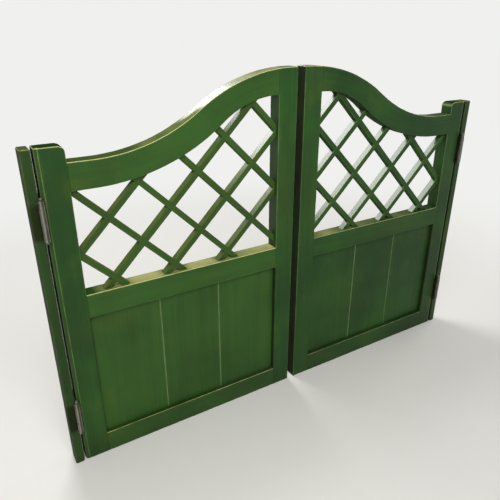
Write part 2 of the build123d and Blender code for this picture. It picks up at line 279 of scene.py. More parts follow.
def tint(red, green, blue):
    """A colour given as it shows on a screen, from 0 to 255, as the linear values that shaders use."""
    shown = np.array([red, green, blue]) / 255.0
    linear = np.where(shown <= 0.04045, shown / 12.92, ((shown + 0.055) / 1.055) ** 2.4)
    return tuple(float(value) for value in linear)


RUST = tint(92, 62, 38)
FLOOR_MOTTLE = tint(200, 198, 192)


# Settings


def length(name, description, default):
    """A length property in metres."""
    return bpy.props.FloatProperty(
        name=name, description=description, default=default, min=0.0, unit="LENGTH"
    )


def colour(name, description, default):
    """A colour property."""
    return bpy.props.FloatVectorProperty(
        name=name, description=description, default=default, size=3, min=0.0, max=1.0, subtype="COLOR"
    )


def factor(name, description, default):
    """A share between 0 and 1."""
    return bpy.props.FloatProperty(
        name=name, description=description, default=default, min=0.0, max=1.0, subtype="FACTOR"
    )


def angle(name, description, degrees):
    """An angle property."""
    return bpy.props.FloatProperty(
        name=name, description=description, default=math.radians(degrees), subtype="ANGLE"
    )


class TimberSettings(bpy.types.PropertyGroup):
    """Sizes of the timber's edges and how finely it is meshed."""

    frame_arris: length("Frame arris", "Radius of the worn edges of stiles and rails", 0.0028)
    slat_arris: length("Slat arris", "Radius of the worn edges of the lattice slats", 0.0013)
    board_vee: length("Board joint", "Radius of the edges of a board joint", 0.0028)
    wander: factor("Edge wander", "How far an edge's radius wanders along its length", 0.35)
    step: length("Mesh step", "Distance between mesh stations along a piece", 0.007)


class PaintSettings(bpy.types.PropertyGroup):
    """Colours of the worn paint."""

    green: colour("Green", "Main colour of the paint", tint(46, 86, 34))
    deep_green: colour("Deep green", "Colour where the paint lies thick", tint(33, 65, 28))
    olive: colour("Olive", "Colour where the top coat is rubbed thin", tint(76, 90, 33))
    rubbed: colour("Rubbed edge", "Colour of the upright arrises", tint(112, 140, 94))
    # The pale undercoat also stands for painted highlight on the upper arrises and painted light on the rail
    # tops
    worn: colour("Worn edge", "Pale undercoat on the upper arrises", tint(204, 200, 138))
    bare: colour("Bare wood", "Wood in the chips", tint(128, 100, 62))
    # Grime is dirt in the joints, and dirt with painted shade in the inner corners
    grime_and_shade: colour("Grime", "Dirt in the inner corners", tint(20, 27, 14))
    # Shut is dark brown painted shade and dirt: in the gaps, beside the boards and hinges, and on the right
    # leaf
    shut: colour("Shut face", "Dark brown dirt on the faces inside the gaps", tint(26, 20, 10))


class SteelSettings(bpy.types.PropertyGroup):
    """Colours of the hinges."""

    steel: colour("Steel", "Main colour of the hinges", tint(112, 112, 98))
    dull: colour("Dull steel", "Tarnish on the hinges", tint(74, 74, 60))
    # Dark steel also paints the shade line down each barrel
    dark: colour("Dark steel", "Seam of a rolled barrel", tint(44, 42, 38))
    # Bright steel also paints the highlights down the barrels and on the pins
    bright: colour("Bright steel", "Colour of pins, screws and rubbed steel", tint(150, 150, 136))


class StageSettings(bpy.types.PropertyGroup):
    """The floor, the camera and the lamps."""

    floor: colour("Floor", "Colour of the floor", tint(226, 224, 219))
    background: colour("Background", "Colour of the background", tint(240, 240, 238))
    focal: length("Focal length", "Focal length for a sensor 36 mm wide", 0.03635)
    heading: angle("Heading", "Camera's turn from +Y towards +X", 31.331)
    pitch: angle("Pitch", "Camera's tilt down", 24.034)
    stand: bpy.props.FloatVectorProperty(
        name="Camera place",
        description="Where the camera stands",
        default=(-0.8790, -1.1916, 1.1446),
        unit="LENGTH",
    )


def settings(group):
    """One group of this scene's settings: timber, paint, steel or stage."""
    return getattr(bpy.context.scene, f"saloon_{group}")


# Surfaces


def swan_neck(u, low, high, share):
    """Height at u of two arcs in one S: level at low, level at high, level beyond both."""
    run = high[0] - low[0]
    turn = 2 * math.atan2(high[1] - low[1], run)
    first = share * run / math.sin(turn)
    second = (1 - share) * run / math.sin(turn)
    from_low = np.clip(u - low[0], 0, share * run)
    from_high = np.clip(high[0] - u, 0, (1 - share) * run)
    lower = low[1] + first - np.sqrt(first**2 - from_low**2)
    upper = high[1] - second + np.sqrt(second**2 - from_high**2)
    return np.where(u < low[0] + share * run, lower, upper)


def neck_top(u):
    """Height of the swan neck at u."""
    return swan_neck(u, SADDLE, CREST, NECK_SHARE)


def leaf_top(u):
    """Height of the leaf's upper edge at u, with the ear and its round shoulder."""
    over = np.clip(u - (STILE_INNER - EAR_ROUND), 0, EAR_ROUND)
    ear = EAR_HEIGHT - EAR_ROUND + np.sqrt(np.maximum(EAR_ROUND**2 - over**2, 0))
    return np.where(u <= STILE_INNER, ear, neck_top(u))


def window_top(u):
    """Height of the window's upper edge at u."""
    return swan_neck(u, WINDOW_LOW, WINDOW_HIGH, WINDOW_SHARE)


def wander(place, seed):
    """A slow wobble between -1 and 1: a sum of sines of the place with random phases."""
    random = np.random.default_rng(seed)
    total = np.zeros_like(place)
    for cycles in (2.3, 5.1, 11.7, 23.0, 47.0):
        total += np.sin(2 * math.pi * cycles * place + random.uniform(0, 2 * math.pi)) / 3
    return np.clip(total, -1, 1)


def stations(size, strip, step):
    """Places along one side: close together within a strip at each end, then at most a step apart."""
    near = strip * np.array(STRIP_PLACES)
    count = max(int(math.ceil((size - 2 * strip) / step)), 1)
    middle = np.linspace(strip, size - strip, count + 1)[1:-1]
    return np.concatenate([near, middle, (size - near)[::-1]])


def block(sides):
    """The skin of a box whose three sides have the given stations, as points and outward quads."""
    points = []
    quads = []
    start = 0
    for axis in range(3):
        first, second = (axis + 1) % 3, (axis + 2) % 3
        p, q = np.meshgrid(sides[first], sides[second], indexing="ij")
        for end in (0, -1):
            face = np.empty((p.size, 3))
            face[:, first] = p.ravel()
            face[:, second] = q.ravel()
            face[:, axis] = sides[axis][end]
            index = start + np.arange(p.size).reshape(p.shape)
            a, b = index[:-1, :-1].ravel(), index[1:, :-1].ravel()
            c, d = index[1:, 1:].ravel(), index[:-1, 1:].ravel()
            quads.append(np.stack([a, b, c, d] if end else [a, d, c, b], axis=1))
            points.append(face)
            start += p.size
    points = np.concatenate(points)
    keys = np.round(points * 1e7).astype(np.int64)
    _, keep, place = np.unique(keys, axis=0, return_index=True, return_inverse=True)
    return points[keep], place.ravel()[np.concatenate(quads)]


def rounded(points, size, radius):
    """Rounds a box's skin: a point goes to the unit sphere round the nearest point of the inner box.

    radius has one column for each side, so an end can stay sharper than the long arrises.
    """
    inner = np.clip(points, radius, size - radius)
    out = (points - inner) / radius
    out /= np.linalg.norm(out, axis=1)[:, None]
    return inner + radius * out


def bell(distance, reach):
    """A smooth hump: 1 at no distance, falling off within the reach."""
    return np.exp(-((distance / reach) ** 2))


def rubbed(u, z, side):
    """How far hands and knees have rubbed the paint thin: a sum of smooth humps at the worn places."""
    total = np.zeros_like(u)
    for place, height, wide, high, strength in RUBBED[side]:
        total += strength * bell(np.hypot((u - place) / wide, (z - height) / high), 1.0)
    return np.clip(total, 0, 1)


def glossy(u, side, start, end):
    """How much of its gloss a sloping face keeps: little near the left leaf's hinges, then a smooth rise."""
    if side == "right":
        return np.ones_like(u)
    share = np.clip((u - start) / (end - start), 0, 1)
    return LEAST_GLOSS + (1 - LEAST_GLOSS) * share**2 * (3 - 2 * share)


def arris_distance(points, size, joined):
    """How far each point of the skin lies from the nearest arris. joined ends don't count."""
    gaps = np.minimum(points, size - points)
    if joined:
        gaps[:, 0] = np.inf
        return gaps[:, 1:].max(axis=1)
    return np.sort(gaps, axis=1)[:, 1]


def add_object(name, data):
    """A new object in the scene."""
    made = bpy.data.objects.new(name, data)
    bpy.context.scene.collection.objects.link(made)
    return made


def add_mesh(name, points, quads, values):
    """A mesh object from whole arrays. values holds the attributes that the paint reads, by name."""
    mesh = bpy.data.meshes.new(name)
    mesh.vertices.add(len(points))
    mesh.vertices.foreach_set("co", points.astype(np.float32).ravel())
    mesh.loops.add(quads.size)
    mesh.loops.foreach_set("vertex_index", quads.astype(np.int32).ravel())
    mesh.polygons.add(len(quads))
    mesh.polygons.foreach_set("loop_start", np.arange(0, quads.size, 4, dtype=np.int32))
    mesh.polygons.foreach_set("loop_total", np.full(len(quads), 4, dtype=np.int32))
    mesh.polygons.foreach_set("use_smooth", np.ones(len(quads), dtype=bool))
    mesh.update(calc_edges=True)
    for label, data in values.items():
        flat = data.ndim == 1
        attribute = mesh.attributes.new(label, "FLOAT" if flat else "FLOAT_VECTOR", "POINT")
        attribute.data.foreach_set("value" if flat else "vector", data.astype(np.float32).ravel())
    mesh.validate()
    return add_object(name, mesh)


def piece_seed(side, kind, number=1):
    """The random seed of one piece, so that each has its own brush marks."""
    first, further = SEEDS[kind]
    return first + further * (side == "right") + number - 1


def timber_block(sizes, arris, end_radius, seed, joined=True, strip=None, extra=(), across=(), ease=None):
    """A rounded block along its first side, with the attributes of a painted piece.

    The arris radius wanders along the piece, and ease may make it smaller in places. extra and across are
    further stations along and across it. grain holds the place on the piece, moved by a random step.
    """
    timber = settings("timber")
    strip = strip or STRIP * arris
    sides = [stations(sizes[0], strip, timber.step)]
    sides += [stations(size, strip, max(timber.step, size / 8)) for size in sizes[1:]]
    sides[0] = np.unique(np.round(np.concatenate([sides[0], extra]), 6))
    sides[1] = np.unique(np.round(np.concatenate([sides[1], across]), 6))
    points, quads = block(sides)
    size = np.array(sizes)
    apart = 3 * (points[:, 1] > sizes[1] / 2) + 7 * (points[:, 2] > sizes[2] / 2)
    local = arris * (1 + timber.wander * wander(points[:, 0] + apart, seed))
    eased = np.ones(len(points)) if ease is None else ease(points)
    local = np.maximum(local * eased, TIGHT_ARRIS)
    radius = np.stack([np.full(len(points), end_radius), local, local], axis=1)
    random = np.random.default_rng(seed)
    zeros = np.zeros(len(points))
    free = zeros + FAR_AWAY
    values = {
        "grain": points + random.uniform(-5, 5, 3),
        "arris": arris_distance(points, size, joined) + (1 - eased) * arris,
        "joint": np.minimum(points[:, 0], sizes[0] - points[:, 0]) if joined else free,
        "corner": free,
        "tone": zeros + random.uniform(-1, 1),
        "ledge": zeros.copy(),
        "shut": zeros.copy(),
        "wear": zeros + PLAIN_WEAR,
    }
    return rounded(points, size, radius), quads, values


def place_on_leaf(side, name, points, quads, values):
    """Puts a piece given in u, y and z on its leaf, mirrored on the right, and makes it replace its node."""
    sign = SIDES[side]
    u, z = points[:, 0], points[:, 2]
    # Painted shade on the right leaf, a darker hinge stile, and old dirt at the foot
    shade_and_soil = LEAF_SHADE[side] + FLOOR_SOIL * bell(z, FLOOR_REACH)
    thin = rubbed(u, z, side)
    if name.startswith("slat"):
        thin = np.maximum(thin, SLAT_RUB[side])
        values["gloss"] = glossy(u, side, *SLAT_GLOSS)
        values["ledge"] = values["ledge"] + SLAT_DUST[side]
    else:
        lag = NECK_LAG * np.clip(0.5 - points[:, 1] / 0.01, 0, 1)
        values["gloss"] = glossy(u - lag, side, *NECK_GLOSS)
        if not name.endswith("stile"):
            thin = np.maximum(thin, PLAIN_RUB[side])
            values["tone"] = values["tone"] + LIFT[side]
    if name == "hinge_stile":
        values["gloss"] *= EAR_GLOSS
        shade_and_soil = shade_and_soil + STILE_DARKENING
    values["rub"] = thin
    values["shut"] = np.maximum(values["shut"], shade_and_soil)
    placed = points.copy()
    placed[:, 0] = sign * (points[:, 0] - LEAF_EDGE)
    if sign < 0:
        quads = quads[:, ::-1]
    piece = add_mesh(f"{side}_{name}_painted", placed, quads, values)
    piece.data.materials.append(paint_material())
    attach(piece, f"{side}_leaf")
    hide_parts(f"{side}_{name}")


def stile(side, name, low, high):
    """An upright: a rounded block along Z whose last stretch is scaled in height to meet the leaf's edge.

    Its arrises stay sharp where a rail meets it, so that the joint lies flush. The hinge stile's outer edge
    has the planed bevel, whose inner border wears like an arris. The outer face, which lies in a gap, and the
    inner face beside the boards and the window are dark with painted shade, and the right leaf's bevel beside
    the hinges with a painted shadow of the hinges.
    """
    arris = settings("timber").frame_arris
    hinged = low < MEETING_INNER / 2
    inner = STILE_INNER if hinged else MEETING_INNER
    tall = float(leaf_top(np.linspace(low, high, 200)).max())
    top_rail = (float(window_top(inner)), float(neck_top(inner)))
    rails = (BOTTOM_RAIL, MIDDLE_RAIL, top_rail)
    blend = SHOULDER * arris

    def ease(points):
        """1 on free arrises and 0 where a rail's shoulder covers the inner edge."""
        covered = np.zeros(len(points))
        for bottom, top in rails:
            inside = np.minimum(points[:, 0] - bottom, top - points[:, 0])
            covered = np.maximum(covered, np.clip(inside / blend, 0, 1))
        near = np.abs(low + points[:, 1] - inner) < (high - low) / 2
        return 1 - covered * near

    extra = [height + step for rail_range in rails for height in rail_range for step in (-blend, 0, blend)]
    extra = [height for height in extra if STRIP * arris < height < tall - STRIP * arris]
    across = (HEEL_WIDTH - arris / 2, HEEL_WIDTH, HEEL_WIDTH + arris / 2) if hinged else ()
    sizes = (tall, high - low, 2 * HALF_THICKNESS)
    points, quads, values = timber_block(
        sizes, arris, arris, piece_seed(side, name), joined=False, extra=extra, across=across, ease=ease
    )
    u = low + points[:, 1]
    share = np.clip((points[:, 0] - tall + STILE_STRETCH) / STILE_STRETCH, 0, 1)
    z = points[:, 0] + share * (leaf_top(u) - tall)
    y = points[:, 2] - HALF_THICKNESS
    if hinged:
        bevel = np.clip(1 - u / HEEL_WIDTH, 0, 1) * HEEL_DEPTH / HALF_THICKNESS
        border = np.abs(u - HEEL_WIDTH) + BEVEL_BORDER * arris
        border = np.minimum(values["arris"], border)
        values["arris"] = np.where(np.abs(y) > HALF_THICKNESS / 2, border, values["arris"])
        y = y * (1 - bevel)
    values["wear"] += HINGE_STILE_WEAR if hinged else MEETING_STILE_WEAR
    values["ledge"] += 0.0 if hinged else CREST_DUST
    # Painted shade on the outer face, inside the gap, and on the inner faces beside the boards and the window
    outer = u - low if hinged else high - u
    inward = inner - u if hinged else u - inner
    beside = np.clip(np.minimum(z - BOTTOM_RAIL[1], MIDDLE_RAIL[0] - z) / SHADE_START, 0, 1)
    window = np.clip(np.minimum(z - MIDDLE_RAIL[1], top_rail[0] - z) / SHADE_START, 0, 1)
    face = np.clip(1 - inward / (FACE_REACH * arris), 0, 1)
    shade = face * (BOARD_SHADE * beside + WINDOW_SHADE * window)
    values["shut"] = np.clip(1 - outer / (FACE_REACH * arris), 0, 1) + shade
    values["arris"] += INNER_KEPT * beside * (inward < 2 * arris)
    if hinged:
        # Painted shadow of the hinges on the bevel beside them, dark on the right leaf only
        for level in ("lower", "upper"):
            bottom, top = (corner.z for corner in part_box(f"left_{level}_door_flange"))
            past = np.abs(z - (bottom + top) / 2) - (top - bottom) / 2
            hinge_shadow = np.clip(1 - past / SHADOW_REACH, 0, 1) * np.interp(u, BEVEL_FADE, (1, 0))
            values["shut"] = np.maximum(values["shut"], BEVEL_SHADOW[side] * hinge_shadow)
    place_on_leaf(side, name, np.stack([u, y, z], axis=1), quads, values)


def rail_dust_and_light(side, name, u):
    """Dust on a rail at u. On the swan neck it grows from the ear to the crest.

    On the middle rail it is dust and painted light, which builds up in a straight line from the hinge stile
    and dips round each slat's foot as painted shade.
    """
    if name == "top_rail":
        return np.interp(u, NECK_PLACES, NECK_DUST)
    if name == "bottom_rail":
        return np.zeros_like(u)
    # Painted light on the middle rail, with painted shade of the slats round their feet, together with dust
    feet = STILE_INNER + np.abs([*slat_heights(True), *slat_heights(False)])
    near = np.abs(u[:, None] - feet[None, :]).min(axis=1)
    start = np.clip((u - STILE_INNER - MIDDLE_START) / MIDDLE_RISE[side], 0, 1)
    return MIDDLE_DUST_AND_LIGHT[side] * start * (1 - FOOT_SHADE_SHARE * bell(near, FOOT_SHADE_REACH))


def rail(side, name, lower, upper):
    """A cross member: a rounded block along u between a lower and an upper curve."""
    arris = settings("timber").frame_arris
    run = MEETING_INNER - STILE_INNER
    u = np.linspace(STILE_INNER, MEETING_INNER, 50)
    depth = float((upper(u) - lower(u)).min())
    sizes = (run, 2 * HALF_THICKNESS, depth)
    points, quads, values = timber_block(sizes, arris, TIGHT_ARRIS, piece_seed(side, name))
    u = STILE_INNER + points[:, 0]
    values["ledge"] += rail_dust_and_light(side, name, u)
    values["arris"] += RAIL_KEPT[name][side]
    spread = np.clip((points[:, 2] - RAIL_MARGIN) / (depth - 2 * RAIL_MARGIN), 0, 1)
    z = lower(u) + points[:, 2] + spread * (upper(u) - lower(u) - depth)
    placed = np.stack([u, points[:, 1] - HALF_THICKNESS, z], axis=1)
    place_on_leaf(side, name, placed, quads, values)


def board(side, number, low, high):
    """One panel board: a rounded block along Z, housed in the frame round it, with dirt and painted shade
    in its corners.
    """
    vee = settings("timber").board_vee
    sizes = (BOARD_ENDS[1] - BOARD_ENDS[0], high - low, 2 * BOARD_HALF)
    points, quads, values = timber_block(sizes, vee, TIGHT_ARRIS, piece_seed(side, "board", number))
    u, z = low + points[:, 1], BOARD_ENDS[0] + points[:, 0]
    to_sides = np.minimum(u - STILE_INNER, MEETING_INNER - u)
    to_ends = np.minimum(z - BOTTOM_RAIL[1] + BOARD_FOOT[side], MIDDLE_RAIL[0] - z)
    values["corner"] = np.maximum(np.minimum(to_sides, to_ends), 0)
    values["joint"] = np.full(len(points), FAR_AWAY)
    values["wear"] = np.interp(u, BOARD_JOINTS, BOARD_WEAR[side])
    placed = np.stack([u, points[:, 2] - BOARD_HALF, z], axis=1)
    place_on_leaf(side, f"board_{number}", placed, quads, values)


def slat_heights(rising):
    """Heights of the rising or falling slats over the window's lower corner, on the hinge stile."""
    step = -SLAT_PITCH if rising else SLAT_PITCH
    count = RISING_SLATS if rising else FALLING_SLATS
    return [SLAT_START + number * step for number in range(count)]


def slat(side, number, rising):
    """A lattice slat: a rounded block along a line at 45 degrees.

    Its ends follow the window's edge, grown by the housing. Where it crosses another slat, the face that
    gives way dips under the other's.
    """
    arris = settings("timber").slat_arris
    kind = "slat_rising" if rising else "slat_falling"
    slope = 1 if rising else -1
    along = np.array([1, slope]) / math.sqrt(2)
    across = np.array([-slope, 1]) / math.sqrt(2)
    own = slat_heights(rising)[number - 1]
    start = np.array([STILE_INNER, MIDDLE_RAIL[1] + own])

    def ends(v):
        """Where the line at v across the slat enters and leaves the grown window."""
        u = start[0] + SLAT_LINE * along[0] + v * across[0]
        z = start[1] + SLAT_LINE * along[1] + v * across[1]
        inside = (u > STILE_INNER - SLAT_HOUSING) & (u < MEETING_INNER + SLAT_HOUSING)
        inside &= (z > MIDDLE_RAIL[1] - SLAT_HOUSING) & (z < window_top(u) + SLAT_HOUSING)
        found = SLAT_LINE[inside]
        return found[0], found[-1]

    first, last = ends(0.0)
    crossings = (np.array(slat_heights(not rising)) - own) / (2 * slope) * math.sqrt(2)
    crossings = crossings[(first < crossings) & (crossings < last)]
    half = SLAT_FACE / 2
    lip = 3 * SLAT_DIP
    edges = [crossings - first + offset for offset in (-half, half, lip - half, half - lip)]
    extra = np.concatenate(edges)
    extra = extra[(extra > SLAT_MARGIN / 2) & (extra < last - first - SLAT_MARGIN / 2)]
    sizes = (last - first, SLAT_DEPTH, SLAT_FACE)
    seed = piece_seed(side, kind, number)
    points, quads, values = timber_block(sizes, arris, TIGHT_ARRIS, seed, strip=2 * arris, extra=extra)
    v = points[:, 2] - half
    rows, row = np.unique(np.round(v, 6), return_inverse=True)
    reach = np.array([ends(value) for value in rows])[row.ravel()]
    near = np.clip(1 - points[:, 0] / SLAT_MARGIN, 0, 1)
    far = np.clip(1 - (last - first - points[:, 0]) / SLAT_MARGIN, 0, 1)
    place = first + points[:, 0] + near * (reach[:, 0] - first) + far * (reach[:, 1] - last)
    gap = np.abs(place[:, None] - crossings[None, :]).min(axis=1) - half
    gives_way = points[:, 1] < SLAT_DEPTH / 2 if rising else points[:, 1] > SLAT_DEPTH / 2
    sink = np.where(gives_way & (gap < -SLAT_DIP), SLAT_DIP, 0.0)
    y = SLAT_FRONT + points[:, 1] + (sink if rising else -sink)
    u = start[0] + place * along[0] + v * across[0]
    z = start[1] + place * along[1] + v * across[1]
    from_ends = np.minimum(place - reach[:, 0], reach[:, 1] - place) - SLAT_HOUSING
    values["corner"] = np.maximum(from_ends, 0)
    values["joint"] = np.where(gives_way, np.abs(gap), FAR_AWAY)
    values["arris"] = values["arris"] + SLAT_KEPT[side] * arris
    place_on_leaf(side, f"{kind}_{number}", np.stack([u, y, z], axis=1), quads, values)


# Materials


class NodeTree:
    """A short way to write the nodes of a material or a world."""

    def __init__(self, owner):
        """Starts with an empty tree."""
        owner.use_nodes = True
        self.tree = owner.node_tree
        self.tree.nodes.clear()

    def add(self, kind, *values, **properties):
        """A node with some of its properties set and its first inputs linked or set."""
        node = self.tree.nodes.new(kind)
        for key, value in properties.items():
            setattr(node, key, value)
        for socket, value in zip(node.inputs, values):
            self.put(socket, value)
        return node

    def put(self, socket, value):
        """Links or sets one input."""
        if isinstance(value, bpy.types.NodeSocket):
            self.tree.links.new(value, socket)
        elif socket.type == "RGBA":
            socket.default_value = (*value, 1.0)
        else:
            socket.default_value = value

    def fill(self, node, **values):
        """Links or sets inputs by their names, with _ for a space, and gives the node back."""
        for name, value in values.items():
            self.put(node.inputs[name.replace("_", " ")], value)
        return node

    def seen(self):
        """1 on camera, glossy and transmission rays, which show the background, and 0 on the others."""
        path = self.add("ShaderNodeLightPath").outputs
        return self.most(path["Is Camera Ray"], path["Is Glossy Ray"], path["Is Transmission Ray"])

    def blend(self, share, first, second):
        """A mix of two surfaces."""
        return self.add("ShaderNodeMixShader", share, first, second).outputs[0]

    def attribute(self, name, output="Fac"):
        """A value or vector kept in the mesh."""
        return self.add("ShaderNodeAttribute", attribute_name=name).outputs[output]

    def place(self):
        """The place on the object."""
        return self.add("ShaderNodeTexCoord").outputs["Object"]

    def parts(self, vector):
        """The three parts of a vector."""
        return self.add("ShaderNodeSeparateXYZ", vector).outputs

    def upward(self):
        """How far the surface faces up: 1 on level tops, -1 underneath."""
        return self.parts(self.add("ShaderNodeNewGeometry").outputs["Normal"])[2]

    def scaled(self, vector, scale):
        """A vector stretched along its parts."""
        return self.add("ShaderNodeVectorMath", vector, scale, operation="MULTIPLY").outputs[0]

    def noise(self, vector, scale, detail=3.0, roughness=0.55, distortion=0.0):
        """Cloudy noise round 0.5."""
        node = self.add("ShaderNodeTexNoise")
        self.fill(node, Vector=vector, Scale=scale, Detail=detail, Roughness=roughness, Distortion=distortion)
        return node.outputs["Fac"]

    def math(self, operation, *values):
        """One arithmetic step."""
        return self.add("ShaderNodeMath", *values, operation=operation).outputs[0]

    def times(self, first, *others):
        """The product of some values."""
        for other in others:
            first = self.math("MULTIPLY", first, other)
        return first

    def most(self, first, *others):
        """The largest of some values."""
        for other in others:
            first = self.math("MAXIMUM", first, other)
        return first

    def total(self, start, *terms):
        """A start plus the products of pairs."""
        for value, share in terms:
            start = self.math("MULTIPLY_ADD", value, share, start)
        return start

    def apart(self, first, second):
        """The distance between two values."""
        return self.math("ABSOLUTE", self.math("SUBTRACT", first, second))

    def fade(self, value, low, high, to_low=0.0, to_high=1.0):
        """A smooth step of a value from low to high."""
        values = (value, low, high, to_low, to_high)
        return self.add("ShaderNodeMapRange", *values, interpolation_type="SMOOTHSTEP").outputs[0]

    def mix(self, share, first, second, blend="MIX"):
        """A mix of two colours."""
        node = self.add("ShaderNodeMix", share, data_type="RGBA", blend_type=blend)
        self.put(node.inputs[6], first)
        self.put(node.inputs[7], second)
        return node.outputs[2]

    def darken(self, base, share):
        """A colour times a share of its light."""
        return self.mix(1.0, base, share, "MULTIPLY")

    def bump(self, height, distance, strength):
        """A bumped normal."""
        node = self.add("ShaderNodeBump")
        return self.fill(node, Height=height, Distance=distance, Strength=strength).outputs[0]


class Shader(NodeTree):
    """A material with one principled surface."""

    def __init__(self, name):
        """Links the surface to the material's output."""
        self.material = bpy.data.materials.new(name)
        super().__init__(self.material)
        self.surface = self.add("ShaderNodeBsdfPrincipled")
        self.output = self.add("ShaderNodeOutputMaterial").inputs["Surface"]
        self.put(self.output, self.surface.outputs[0])

    def finish(self, colour, roughness, normal, **others):
        """Sets the surface's inputs and returns the material."""
        self.fill(self.surface, Base_Color=colour, Roughness=roughness, Normal=normal, **others)
        return self.material


def worn_paint(shader, grain, arris, corner, joint, tone, ledge, rub, shut, gloss, wear):
    """Brushed green paint, thin and olive in patches, pale on the arrises, dark in the inner corners.

    shut marks the faces that are dark with painted shade and dirt, gloss how shiny a sloping face is, and
    wear how far even the sheltered arrises are rubbed. An upward face without gloss reflects nothing.
    """
    paint = settings("paint")
    fade, times, most, total = shader.fade, shader.times, shader.most, shader.total
    mix, darken, noise = shader.mix, shader.darken, shader.noise

    # The noises that the rest is made of, and how far each place faces up
    place = shader.place()
    clouds = noise(place, 4.0, 3.0)
    patches = noise(place, 9.0, 5.0, 0.62)
    streaks = noise(shader.scaled(grain, (5.0, 210.0, 210.0)), 1.0, 4.0, 0.6, 0.2)
    bands = noise(shader.scaled(grain, (2.0, 38.0, 38.0)), 1.0, 3.0, 0.6)
    ragged = noise(shader.scaled(grain, (40.0, 260.0, 260.0)), 1.0, 4.0, 0.65)
    speckle = noise(place, 420.0, 2.0)
    up = shader.upward()
    lit = fade(up, 0.12, 0.6)
    top = fade(up, 0.5, 0.9)

    # Two greens, rubbed thin to olive in patches
    shade = total(0.0, (bands, 0.35), (clouds, 0.9), (streaks, 0.09), (tone, 0.05))
    base = mix(fade(shade, 0.5, 0.92), paint.deep_green, paint.green)
    thin = times(fade(patches, 0.5, 0.75), fade(bands, 0.3, 0.7, 0.2, 0.6))
    hand = times(rub, fade(ragged, 0.2, 0.8, 0.45, 0.95))
    base = mix(times(most(thin, hand), 0.7), base, paint.olive)
    base = darken(base, fade(streaks, 0.25, 0.78, 0.96, 1.05))

    # Level tops are darker with painted shade, and dust lies on them, with painted light as well on the
    # middle rails
    base = darken(base, fade(up, 0.8, 0.98, 1.0, 0.6))
    dust_and_light = times(top, ledge, fade(patches, 0.3, 0.6, 0.35, 1.0))
    base = mix(dust_and_light, base, mix(clouds, paint.worn, paint.olive))

    # Pale ragged arrises in an olive halo, with chips down to the wood; the cream on the upper arrises is
    # wear and painted highlight
    worn = total(0.0015, (arris, 1.0), (ragged, -0.003))
    where = most(lit, fade(patches, 0.35, 0.62, 0.0, 0.8), wear)
    edge = times(fade(worn, 0.0004, 0.0024, 1.0, 0.0), where)
    halo = times(fade(arris, 0.001, 0.006, 0.35, 0.0), where)
    base = mix(halo, base, paint.olive)
    base = mix(edge, base, mix(lit, paint.rubbed, paint.worn))
    chips = times(fade(speckle, 0.64, 0.7), fade(worn, 0.0005, 0.003, 1.0, 0.0))
    base = mix(times(chips, where), base, paint.bare)

    # Dirt and painted shade in the corners, dirt in the joints, and painted shade, painted shadow of the
    # hinges and dirt on the faces marked shut
    corner_breakup = fade(ragged, 0.2, 0.7, 0.6, 1.0)
    dirt_and_shade = times(fade(corner, 0.0006, 0.007, 0.6, 0.0), corner_breakup)
    base = mix(dirt_and_shade, base, paint.grime_and_shade)
    crack = fade(joint, 0.0002, 0.0009, 1.0, 0.0)
    filled = times(crack, fade(patches, 0.35, 0.65, 0.15, 0.6))
    base = mix(filled, base, paint.grime_and_shade)
    dark = times(shut, fade(patches, 0.2, 0.7, 0.95, 0.75))
    base = mix(dark, base, paint.shut)

    # Brush marks, and where the paint is rough, dull or glossy
    height = total(0.0, (bands, 0.45), (streaks, 0.28), (speckle, 0.08), (edge, -0.2), (crack, -0.4))
    rising = fade(up, 0.35, 0.65)
    slope = times(rising, fade(up, 0.88, 0.985, 1.0, 0.0))
    flat = times(rising, shader.math("SUBTRACT", 1.0, gloss))
    below = fade(up, -0.5, -0.15, 1.0, 0.0)
    dull = most(shut, below, fade(up, 0.93, 0.99), flat)
    rough = total(PAINT_ROUGH, (streaks, 0.16), (most(edge, dust_and_light), 0.2))
    return shader.finish(
        base,
        most(rough, times(dull, DULL_ROUGH)),
        shader.bump(height, 0.0008, total(0.6, (slope, -0.5))),
        Specular_IOR_Level=total(PAINT_SPECULAR, (flat, -PAINT_SPECULAR)),
        Coat_Weight=times(slope, COAT_WEIGHT, gloss),
        Coat_Roughness=COAT_ROUGH,
    )


def paint_material():
    """The paint of the dressed pieces, which keep their grain and edges as attributes."""
    found = bpy.data.materials.get("worn_green_paint")
    if found:
        return found
    shader = Shader("worn_green_paint")
    names = ("arris", "corner", "joint", "tone", "ledge", "rub", "shut", "gloss", "wear")
    values = {name: shader.attribute(name) for name in names}
    return worn_paint(shader, shader.attribute("grain", "Vector"), **values)


